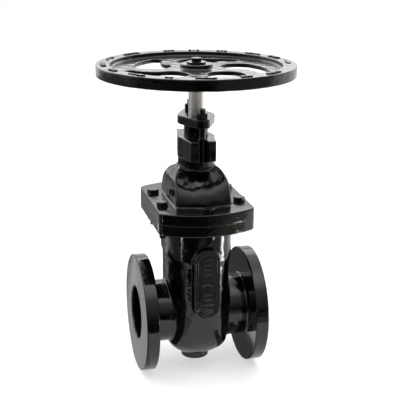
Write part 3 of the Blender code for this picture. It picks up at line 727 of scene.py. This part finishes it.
for sign, side in ((-1, "front"), (1, "back")):
    face = PAD_Y - RELIEF
    outer = sweep_bead(f"pad_border_outer_{side}", track_path(0.0222), 0.0030, RELIEF - 0.0001, face, sign)
    inner = sweep_bead(f"pad_border_inner_{side}", track_path(0.0178), 0.0020, RELIEF - 0.0003, face, sign)
    shapes = []
    mid = (PAD_Z0 + PAD_Z1) / 2
    for k in range(11):
        v = mid + (k - 5) * 0.0098
        if k == 5:
            shapes.append(bar(0.0, v, 0.0062, 0.0020))
            shapes.append([(-0.0050, v - 0.0050), (-0.0050, v + 0.0050), (-0.0125, v + 0.0003), (-0.0125, v - 0.0003)][::-1])
            shapes.append([(0.0050, v - 0.0050), (0.0050, v + 0.0050), (0.0125, v + 0.0003), (0.0125, v - 0.0003)])
        elif k in (4, 6):
            continue
        else:
            shapes.append(bar(0.0, v, (0.0100, 0.0070, 0.0088)[k % 3], 0.0024, 4, 0.0012))
    marks = raised(f"pad_marks_{side}", shapes, lambda u, v, w: (u, sign * (face + w), v), RELIEF - 0.0002, inset=0.0013)
    for piece in (outer, inner, marks):
        dress(piece, CAST_BODY, ROOT, "black_enamel")


# ---------------------------------------------------------------- bonnet casting
def dome(x, y, z):
    t = (z - 0.2256) / 0.0609
    sx = np.maximum(falloff(t, 3.6), 0.2)
    sy = np.maximum(falloff(t, 1.6), 0.08)
    return arched(x / sx, y / sy, 0.0515, 0.0775, 0.120, 0.009) * np.minimum(sx, sy)


def dome_hollow(x, y, z):
    t = (z - 0.232) / 0.0365
    sx = np.maximum(falloff(t, 3.6), 0.2)
    sy = np.maximum(falloff(t, 1.6), 0.08)
    return arched(x / sx, y / sy, 0.0425, 0.0660, 0.100, 0.014) * np.minimum(sx, sy)


def lug_plan(x, y):
    """Round boss widened by a straight-sided lug to each side."""
    ax, ay = np.abs(x), np.abs(y)
    reach = math.hypot(0.023, 0.058)
    start = math.atan2(0.058, 0.023) - math.acos(0.033 / reach)
    flank = ax * math.cos(start) + ay * math.sin(start) - 0.033
    block = np.maximum(np.maximum(flank, ay - 0.058), ax - 0.033 - 0 * ay)
    return np.minimum(length(x, y) - 0.033, block)


def lug_slot(x, y):
    return np.maximum(length(x, np.abs(y) - np.maximum(np.abs(y), 0.0465)) - 0.0072, 0 * x - 1.0)


def bonnet_field(x, y, z):
    shell = unit(dome, x, y, z)
    shell = np.maximum(shell, z - 0.2860)
    shell = np.maximum(shell, 0.2160 - z) + wobble(x, y, z, 0.030, 0.00030)
    plan = arched(x, y, 0.0875, 0.120, 0.1465, 0.014)
    slab = np.maximum(meet(plan, z - 0.2206, 0.0018), 0.2004 - z) + wobble(x, y, z, 0.040, 0.00012)
    solid = join(slab, shell, 0.0040)
    stuffing = np.maximum(length(x, y) - 0.033, np.abs(z - 0.290) - 0.046) + wobble(x, y, z, 0.026, 0.0002)
    solid = join(solid, stuffing, 0.0050)
    lugs = meet(lug_plan(x, y), np.abs(z - 0.319) - 0.019, 0.0020) + wobble(x, y, z, 0.024, 0.00018)
    solid = join(solid, lugs, 0.0035)
    inside = np.maximum(unit(dome_hollow, x, y, z), z - 0.2685)
    r = length(x, y)
    bore = np.minimum(np.maximum(r - 0.0233, np.abs(z - 0.271) - 0.0153), r - 0.0145)
    bore = np.minimum(bore, np.maximum(r - 0.0185, np.abs(z - 0.285) - 0.0092))
    bore = np.minimum(bore, np.maximum(r - 0.0223, 0.302 - z))
    solid = cut(solid, np.minimum(inside, bore), 0.0009)
    slots = np.maximum(lug_slot(x, y), 0.290 - z)
    slots = np.maximum(slots, 0.03 - np.abs(y))
    solid = cut(solid, slots, 0.0014)
    return cut(solid, np.maximum(bolt_holes(x, y, 0.0067), z - 0.24), 0.0006)


bonnet = casting("cast_bonnet", bonnet_field, (-0.0905, -0.1225, 0.1985), (0.0905, 0.1225, 0.3405), 0.0013, 150000)
dress(bonnet, CAST_BONNET, ROOT, "black_enamel", "bonnet")


def joint_outline(grow, n=240):
    """The oval flange's outline, moved out by grow."""
    a = np.linspace(0, 2 * math.pi, n, endpoint=False)
    low, high = np.full(n, 0.05), np.full(n, 0.20)
    for _ in range(40):
        mid = (low + high) / 2
        inside = arched(mid * np.cos(a), mid * np.sin(a), 0.0875, 0.120, 0.1465, 0.014) < grow
        low, high = np.where(inside, mid, low), np.where(inside, high, mid)
    return np.stack([low * np.cos(a), low * np.sin(a)], 1)


def gasket_band():
    """The jointing sheet squeezed between the two flanges, its painted edge just proud of them."""
    rings = []
    for grow, z in ((-0.0060, 0.1994), (-0.0004, 0.1994), (0.00022, 0.1995), (0.00042, 0.1999), (0.00042, 0.2006),
                    (0.00022, 0.2010), (-0.0004, 0.2011), (-0.0060, 0.2011)):
        plan = joint_outline(grow)
        rings.append(np.column_stack([plan, np.full(len(plan), z)]))
    return grid_mesh("gasket_band", rings, closed=True, cap=False, angle=50)


dress(gasket_band(), BAND, ROOT, "gasket_sheet", "bonnet_gasket")


# ---------------------------------------------------------------- gland follower
def round_cone(x, y, r1, r2, h):
    """Disc of radius r1 at the origin joined by tangents to discs of radius r2 at y = +-h."""
    px, py = np.abs(x), np.abs(y)
    b = (r1 - r2) / h
    a = math.sqrt(1 - b * b)
    k = -b * px + a * py
    return np.where(k < 0, length(px, py) - r1,
                    np.where(k > a * h, length(px, py - h) - r2, px * a + py * b - r1))


def gland_field(x, y, z):
    plate = meet(round_cone(x, y, 0.034, 0.014, 0.0465), np.abs(z - 0.369) - 0.008, 0.0022)
    plate = plate + wobble(x, y, z, 0.022, 0.00018)
    r = length(x, y)
    sleeve = meet(r - 0.0219, np.abs(z - 0.348) - 0.0206, 0.0008)
    solid = join(plate, sleeve, 0.002)
    solid = cut(solid, r - 0.0145, 0.0010)
    return cut(solid, length(x, np.abs(y) - 0.0465) - 0.0067, 0.0008)


gland = casting("cast_gland", gland_field, (-0.0365, -0.0630, 0.3250), (0.0365, 0.0630, 0.3795), 0.0008, 60000)
dress(gland, CAST_GLAND, "gland", "black_enamel", "gland_flange")


# ---------------------------------------------------------------- handwheel casting
SLOT_T = np.linspace(0, 1, 25)
SLOT_R = 0.0836 + 0.0438 * SLOT_T - 0.0045 * SLOT_T ** 2
SLOT_A = np.radians(5.8 - 36.0 * SLOT_T)
SLOT_X, SLOT_Y = SLOT_R * np.cos(SLOT_A), SLOT_R * np.sin(SLOT_A)


def slot_plan(x, y):
    """Distance to the nearest of five comma-shaped openings."""
    r = length(x, y)
    pitch = 2 * math.pi / 5
    start = math.radians(-37.5)
    a = (np.arctan2(y, x) - start) % pitch + start
    px, py = r * np.cos(a), r * np.sin(a)
    best = np.full(np.shape(px), 9.0)
    out = np.full(np.shape(px), 9.0)
    for k in range(len(SLOT_T) - 1):
        ex, ey = SLOT_X[k + 1] - SLOT_X[k], SLOT_Y[k + 1] - SLOT_Y[k]
        s = np.clip(((px - SLOT_X[k]) * ex + (py - SLOT_Y[k]) * ey) / (ex * ex + ey * ey), 0, 1)
        d = length(px - SLOT_X[k] - s * ex, py - SLOT_Y[k] - s * ey)
        t = SLOT_T[k] + s * (SLOT_T[k + 1] - SLOT_T[k])
        w = 0.0125 + 0.0220 * np.maximum(1 - t, 0) ** 1.2
        closer = d < best
        best = np.where(closer, d, best)
        out = np.where(closer, d - w, out)
    return out


def wheel_field(x, y, z):
    r = length(x, y)
    web = np.maximum(r - 0.160, np.abs(z - 0.45625) - 0.00375)
    web = cut(web, slot_plan(x, y), 0.0014)
    web = web + wobble(x, y, z, 0.028, 0.00025)
    rim = meet(np.abs(r - 0.16695) - 0.01295, np.abs(z - 0.459) - 0.010, 0.0020)
    rim = rim + wobble(x, y, z, 0.034, 0.00022)
    solid = join(web, rim, 0.0042)
    hub = meet(r - 0.029, np.abs(z - 0.459) - 0.010, 0.0020)
    solid = join(solid, hub, 0.0042)
    hole = np.maximum(np.abs(x + y), np.abs(x - y)) / math.sqrt(2) - 0.0088
    return cut(solid, hole, 0.0004)


wheel = casting("cast_handwheel", wheel_field, (-0.1815, -0.1815, 0.4465), (0.1815, 0.1815, 0.4715), 0.00135, 180000)
dress(wheel, CAST_WHEEL, "wheel_and_stem", "black_enamel", "handwheel")

RIM = 0.167
RIM_TOP = 0.4690


def on_rim(u, v, w):
    """u runs round the rim, v outwards, w up."""
    a = u / RIM
    r = RIM + v
    return (r * math.cos(a), r * math.sin(a), RIM_TOP + w)


def block_group(centre_deg, count, pitch=0.0076):
    """A run of cast index marks: broad blocks and pairs of narrow ones in turn."""
    marks = []
    for k in range(count):
        u = math.radians(centre_deg) * RIM + (k - (count - 1) / 2) * pitch
        if (k + count) % 2:
            marks.append(bar(u, 0.0, 0.0026, 0.0046, 3, 0.0010))
        else:
            marks.append(bar(u - 0.0018, 0.0, 0.0010, 0.0048, 2, 0.0007))
            marks.append(bar(u + 0.0018, 0.0, 0.0010, 0.0048, 2, 0.0007))
    return marks


VIEW_TURN = 14.3
marks = []
for centre, count in ((109, 3), (92, 3), (73, 3), (138, 5), (255, 2), (190, 4), (212, 3), (300, 3), (322, 5), (30, 4)):
    marks += block_group(centre - VIEW_TURN, count)
rim_ribs = raised("rim_index_marks", marks, on_rim, 0.0021, inset=0.0004)
dress(rim_ribs, CAST_WHEEL, "wheel_and_stem", "black_enamel")


def arrow_parts(centre_deg, span, way):
    """The arrow as a bent bar and a triangular head, both lying along the rim."""
    u0 = math.radians(centre_deg) * RIM
    parts = [bar(u0 - way * span * 0.17, 0.0, span * 0.34, 0.0014, 2)]
    tip = u0 + way * span * 0.5
    back = u0 + way * span * 0.14
    head = [(back, -0.0052), (tip, -0.0003), (tip, 0.0003), (back, 0.0052)]
    parts.append(head if way > 0 else head[::-1])
    return parts


arrows = []
for centre, way in ((50, 1), (162, -1), (276, 1), (8, -1), (234, 1)):
    arrows += arrow_parts(centre - VIEW_TURN, 0.036, way)
rim_arrows = raised("rim_arrows", arrows, on_rim, 0.0018, inset=0.0004)
dress(rim_arrows, CAST_WHEEL, "wheel_and_stem", "black_enamel")


# ---------------------------------------------------------------- stem, washer and wheel bolt
def make_stem():
    n = 64
    rings = [ring(0.0092, 0.0600, n), ring(0.0100, 0.0608, n)]
    rings += thread_rings(0.0110, 0.0022, 0.005, 0.0615, 0.2560, n, hand=-1, flat=0.18, per=10)
    for r, z in ((0.0110, 0.2600), (0.0110, 0.2622), (0.0140, 0.2630), (0.0140, 0.2866), (0.0140, 0.2868),
                 (0.0176, 0.2868), (0.0180, 0.2872), (0.0180, 0.2933), (0.0176, 0.2937), (0.0140, 0.2937),
                 (0.0140, 0.2945), (0.0140, 0.3600), (0.0140, 0.4200), (0.0140, 0.4460), (0.0138, 0.4466),
                 (0.0130, 0.4474)):
        rings.append(ring(r, z, n))
    square = hexagon(0.017, 0.0, 4, 0.0006)
    for z in (0.4477, 0.4500, 0.4600, 0.4676):
        rings.append(ring(square, z, n))
    rings.append(ring(capped(square, 0.0108), 0.4685, n))
    rings.append(ring(0.0057, 0.4685, n))
    rings.append(ring(0.0053, 0.4681, n))
    rings.append(ring(0.0053, 0.4400, n))
    return grid_mesh("turned_stem", rings)


stem = make_stem()
dress(stem, TURNED, "wheel_and_stem", "bright_steel", "stem")

washer = turned("wheel_washer_turned", rounded([(0.0056, 0.4693), (0.0175, 0.4693), (0.0175, 0.4723), (0.0056, 0.4723)],
                                               0.0007), 72)
dress(washer, PAINTED, "wheel_and_stem", "painted_fasteners", "wheel_washer")


def hex_bolt(name, centre, head_z0, head_z1, across, turn, shank_r, shank_end, pitch, thread_to, head_up=True):
    """Hexagon head and rolled thread; the shank hangs below the head, or stands above it."""
    n = 72
    s = 1 if head_up else -1
    if head_up:
        head = hex_rings(across, head_z0, head_z1, turn, centre, n, chamfer_high=0.5)
        thread = thread_rings(shank_r, 0.55 * pitch, pitch, shank_end + 0.0012, thread_to, n, centre)
        rings = [ring(shank_r - 0.62 * pitch, shank_end, n, centre), ring(shank_r - 0.1 * pitch, shank_end + 0.0008, n, centre)]
        rings += thread + [ring(shank_r, thread_to + 0.0008, n, centre), ring(shank_r, head_z0, n, centre)] + head
        dome_top = [ring(across * 0.40, head_z1 + 0.0, n, centre)]
        rings += dome_top
    else:
        head = hex_rings(across, head_z0, head_z1, turn, centre, n, chamfer_low=0.5)
        thread = thread_rings(shank_r, 0.55 * pitch, pitch, thread_to, shank_end - 0.0012, n, centre)
        rings = head + [ring(shank_r, head_z1, n, centre), ring(shank_r, thread_to - 0.0008, n, centre)] + thread
        rings += [ring(shank_r - 0.1 * pitch, shank_end - 0.0008, n, centre), ring(shank_r - 0.62 * pitch, shank_end, n, centre)]
    return grid_mesh(name, rings, angle=28)


def hex_nut(name, centre, z0, z1, across, turn, bore):
    n = 72
    rings = hex_rings(across, z0, z1, turn, centre, n, chamfer_low=0.5, chamfer_high=0.5)
    rings += [ring(bore + 0.0007, z1, n, centre), ring(bore, z1 - 0.0007, n, centre),
              ring(bore, z0 + 0.0007, n, centre), ring(bore + 0.0007, z0, n, centre)]
    return grid_mesh(name, rings, closed=True, cap=False, angle=28)


wheel_bolt = hex_bolt("wheel_bolt_hex", (0.0, 0.0), 0.4726, 0.4791, 0.017, math.radians(20), 0.0050, 0.4425, 0.0015, 0.4670)
dress(wheel_bolt, PAINTED, "wheel_and_stem", "painted_fasteners", "wheel_bolt")

for k, p in enumerate(BONNET_BOLTS, 1):
    low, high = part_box(f"bonnet_bolt_{k}")
    bolt = hex_bolt(f"flange_bolt_{k}", p, 0.2209, high.z, 0.019, math.radians(17 * k), 0.0060, low.z, 0.00175, 0.1900)
    dress(bolt, PAINTED, ROOT, "painted_fasteners", f"bonnet_bolt_{k}")
    low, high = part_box(f"bonnet_nut_{k}")
    nut = hex_nut(f"flange_nut_{k}", p, low.z, high.z, 0.019, math.radians(23 * k), 0.0064)
    dress(nut, PAINTED, ROOT, "painted_fasteners", f"bonnet_nut_{k}")

for k, sign, rider in ((1, -1, "gland_nut_front"), (2, 1, "gland_nut_back")):
    p = (0.0, sign * 0.0465)
    bolt = hex_bolt(f"gland_stud_{k}", p, 0.2922, 0.2997, 0.019, math.radians(20), 0.0060, 0.3955, 0.00175, 0.3420, False)
    dress(bolt, PAINTED, ROOT, "painted_fasteners", f"gland_bolt_{k}")
    low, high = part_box(f"gland_nut_{k}")
    nut = hex_nut(f"gland_hex_nut_{k}", p, low.z, high.z, 0.019, math.radians(12 * k), 0.0064)
    dress(nut, PAINTED, rider, "painted_fasteners", f"gland_nut_{k}")


# ---------------------------------------------------------------- pieces carried over
for name, mat in (("seat_ring_inlet", BRONZE), ("seat_ring_outlet", BRONZE),
                  ("wedge_ring_inlet", BRONZE), ("wedge_ring_outlet", BRONZE), ("stem_nut", BRONZE),
                  ("thrust_ring", BRONZE), ("wedge", IRON), ("packing_ring_1", BRAID), ("packing_ring_2", BRAID),
                  ("packing_ring_3", BRAID)):
    node = nodes[name]
    node.data.materials.clear()
    node.data.materials.append(mat)


# ---------------------------------------------------------------- studio
def flat_material(name, colour, rough=0.6, lift=0.0):
    mat, nt, shader, coords = start_material(name)
    tone = noise(nt, coords, 3.0, 2.0)
    nt.links.new(blend_colour(nt, tone, colour, tuple(c * 0.985 for c in colour)), shader.inputs["Base Color"])
    shader.inputs["Roughness"].default_value = rough
    shader.inputs["Specular IOR Level"].default_value = 0.1
    shader.inputs["Emission Color"].default_value = (1.0, 1.0, 1.0, 1.0)
    shader.inputs["Emission Strength"].default_value = lift
    return mat


def glow(name, strength, colour=(1.0, 1.0, 1.0)):
    mat = bpy.data.materials.new(name)
    mat.use_nodes = True
    nt = mat.node_tree
    nt.nodes.clear()
    out = nt.nodes.new("ShaderNodeOutputMaterial")
    shine = nt.nodes.new("ShaderNodeEmission")
    shine.inputs["Color"].default_value = (*colour, 1.0)
    shine.inputs["Strength"].default_value = strength
    nt.links.new(shine.outputs[0], out.inputs[0])
    return mat


def sheet(name, corners, mat, seen=False):
    mesh = bpy.data.meshes.new(name)
    mesh.from_pydata(corners, [], [tuple(range(len(corners)))])
    obj = link(name, mesh)
    mesh.materials.append(mat)
    if not seen:
        obj.visible_camera = False
        obj.visible_shadow = False
        obj.visible_diffuse = False
    return obj


FLOOR_Z = -0.1101
floor = sheet("floor", [(-6, -6, FLOOR_Z), (6, -6, FLOOR_Z), (6, 6, FLOOR_Z), (-6, 6, FLOOR_Z)],
              flat_material("floor_white", (0.48, 0.48, 0.48), lift=0.56), seen=True)


def dim_room(name):
    """The unlit end of the room: black to the left, a warm grey to the right."""
    mat = glow(name, 1.0, (1.0, 0.93, 0.82))
    nt = mat.node_tree
    shine = [n for n in nt.nodes if n.type == "EMISSION"][0]
    spot = split(nt, nt.nodes.new("ShaderNodeTexCoord").outputs["Object"])
    near = ramp(nt, spot[1], -1.02, -0.80)
    side = group_math(nt, "MULTIPLY", ramp(nt, spot[0], 0.04, 0.16, 0.0, 0.50), near)
    far = ramp(nt, spot[0], 0.34, 0.60, 0.012, 0.26)
    nt.links.new(group_math(nt, "MAXIMUM", side, far), shine.inputs["Strength"])
    return mat


def low(x0, x1, y0, y1, lift):
    z = FLOOR_Z + lift
    return [(x0, y0, z), (x1, y0, z), (x1, y1, z), (x0, y1, z)]


# What only the gloss sees: the unlit front of the room, the table's shaded back, low lamps and the bright backdrop.
sheet("dark_front_floor", low(-5, 5, -6, -0.39, 0.0006), dim_room("dark_room"))
sheet("floor_shade", [(-0.098, 0.13, FLOOR_Z + 0.0008), (0.065, 0.12, FLOOR_Z + 0.0008), (0.32, 0.12, FLOOR_Z + 0.0008),
                      (0.32, 0.95, FLOOR_Z + 0.0008), (-0.31, 0.95, FLOOR_Z + 0.0008)], glow("shaded_table", 0.13))
sheet("neck_shade", [(0.066, -0.13, FLOOR_Z + 0.0008), (0.100, -0.13, FLOOR_Z + 0.0008), (0.100, 0.12, FLOOR_Z + 0.0008),
                     (0.040, 0.12, FLOOR_Z + 0.0008)], glow("shaded_neck", 0.13))
# Glowing sheets seen only in reflections: painted shade of the table to the left and far back, greyer than the white
# floor.
sheet("left_floor_painted_shade", [(-0.098, 0.13, FLOOR_Z + 0.0006), (-0.31, 0.86, FLOOR_Z + 0.0006), (-0.45, 1.3, FLOOR_Z + 0.0006),
                          (-0.45, -0.3, FLOOR_Z + 0.0006), (-0.098, -0.3, FLOOR_Z + 0.0006)], glow("left_table_painted_shade", 0.60))
sheet("far_floor_painted_shade", [(-0.31, 0.86, FLOOR_Z + 0.0010), (0.12, 0.86, FLOOR_Z + 0.0010), (0.12, 3.2, FLOOR_Z + 0.0010),
                         (-0.45, 3.2, FLOOR_Z + 0.0010), (-0.45, 1.3, FLOOR_Z + 0.0010)], glow("far_table_painted_shade", 0.30))
sheet("left_floor_dim", [(-5, -0.39, FLOOR_Z + 0.0010), (-0.45, -0.39, FLOOR_Z + 0.0010), (-0.45, 3.2, FLOOR_Z + 0.0010),
                         (-5, 3.2, FLOOR_Z + 0.0010)], glow("dim_table", 0.17))


def lamp_strip(name, x, y, width, z0, z1, strength):
    across = np.array([-y, x]) / math.hypot(x, y) * width / 2
    sheet(name, [(x - across[0], y - across[1], z0), (x + across[0], y + across[1], z0),
                 (x + across[0], y + across[1], z1), (x - across[0], y - across[1], z1)], glow(name + "_glow", strength))


lamp_strip("low_strip_right", 0.50, -0.35, 0.13, FLOOR_Z + 0.001, -0.012, 26.0)
lamp_strip("low_strip_left", -0.77, -0.325, 0.08, FLOOR_Z + 0.001, -0.070, 26.0)
sheet("back_glow", [(-2.5, 1.25, 0.71), (2.5, 1.25, 0.71), (2.5, 1.6, 1.9), (-2.5, 1.6, 1.9)], glow("bright_backdrop", 2.7))


def area_light(name, place, target, size_x, size_y, power, seen_in_gloss=True):
    light = bpy.data.lights.new(name, "AREA")
    light.shape = "RECTANGLE"
    light.size, light.size_y = size_x, size_y
    light.energy = power
    obj = bpy.data.objects.new(name, light)
    bpy.context.scene.collection.objects.link(obj)
    way = np.array(target, float) - np.array(place, float)
    obj.location = place
    from mathutils import Vector
    obj.rotation_euler = Vector(way).to_track_quat("-Z", "Y").to_euler()
    obj.visible_camera = False
    obj.visible_glossy = seen_in_gloss
    return obj


area_light("overhead_soft", (0.1, 0.2, 2.4), (0, 0, 0), 2.4, 2.4, 30.0, False)
area_light("left_soft", (-2.2, 0.3, 1.2), (0, 0, 0.2), 1.6, 1.6, 14.0, False)

world = bpy.data.worlds.new("white_studio")
bpy.context.scene.world = world
world.use_nodes = True
wn = world.node_tree
wn.nodes.clear()
out = wn.nodes.new("ShaderNodeOutputWorld")
back = wn.nodes.new("ShaderNodeBackground")
direction = wn.nodes.new("ShaderNodeTexCoord").outputs["Generated"]
parts = wn.nodes.new("ShaderNodeSeparateXYZ")
wn.links.new(direction, parts.inputs[0])
# Towards the front the room is dark at eye level and lighter overhead; the backdrop is bright.
front = ramp(wn, parts.outputs[1], -0.30, 0.10, 1.0, 0.0)
steep = ramp(wn, parts.outputs[2], 0.62, 0.92, 0.0, 1.5)
rise = group_math(wn, "ADD", group_math(wn, "MULTIPLY", group_math(wn, "MAXIMUM", parts.outputs[2], 0.0), 0.95), steep)
rise = group_math(wn, "ADD", rise, 0.02)
bright = ramp(wn, parts.outputs[2], 0.0, 1.0, 1.05, 1.5)
mixer = wn.nodes.new("ShaderNodeMix")
mixer.data_type = "FLOAT"
wn.links.new(front, mixer.inputs["Factor"])
wn.links.new(bright, mixer.inputs[2])
wn.links.new(rise, mixer.inputs[3])
is_camera = wn.nodes.new("ShaderNodeLightPath").outputs["Is Camera Ray"]
choose = wn.nodes.new("ShaderNodeMix")
choose.data_type = "FLOAT"
wn.links.new(is_camera, choose.inputs["Factor"])
wn.links.new(mixer.outputs[0], choose.inputs[2])
choose.inputs[3].default_value = 1.0
wn.links.new(choose.outputs[0], back.inputs["Strength"])
back.inputs["Color"].default_value = (1.0, 1.0, 1.0, 1.0)
wn.links.new(back.outputs[0], out.inputs[0])
bpy.context.scene.view_settings.view_transform = "Standard"

# ---------------------------------------------------------------- camera
a, e, distance, focal = 0.2497, 0.2898, 1.791, 961.42
right = np.array([math.cos(a), -math.sin(a), 0.0])
target = np.array([0.0, 0.0, 0.2140]) + right * 0.0084
forward = np.array([math.sin(a) * math.cos(e), math.cos(a) * math.cos(e), -math.sin(e)])
place = target - distance * forward
up = np.cross(right, forward)
roll = 0.0075
right_r = right * math.cos(roll) + up * math.sin(roll)
up_r = -right * math.sin(roll) + up * math.cos(roll)
camera_data = bpy.data.cameras.new("camera")
camera = bpy.data.objects.new("camera", camera_data)
bpy.context.scene.collection.objects.link(camera)
camera_data.sensor_width = 36.0
camera_data.lens = focal * 36.0 / 400.0
camera_data.clip_start, camera_data.clip_end = 0.05, 50.0
camera.matrix_world = Matrix(((right_r[0], up_r[0], -forward[0], place[0]),
                              (right_r[1], up_r[1], -forward[1], place[1]),
                              (right_r[2], up_r[2], -forward[2], place[2]), (0, 0, 0, 1)))
bpy.context.scene.camera = camera
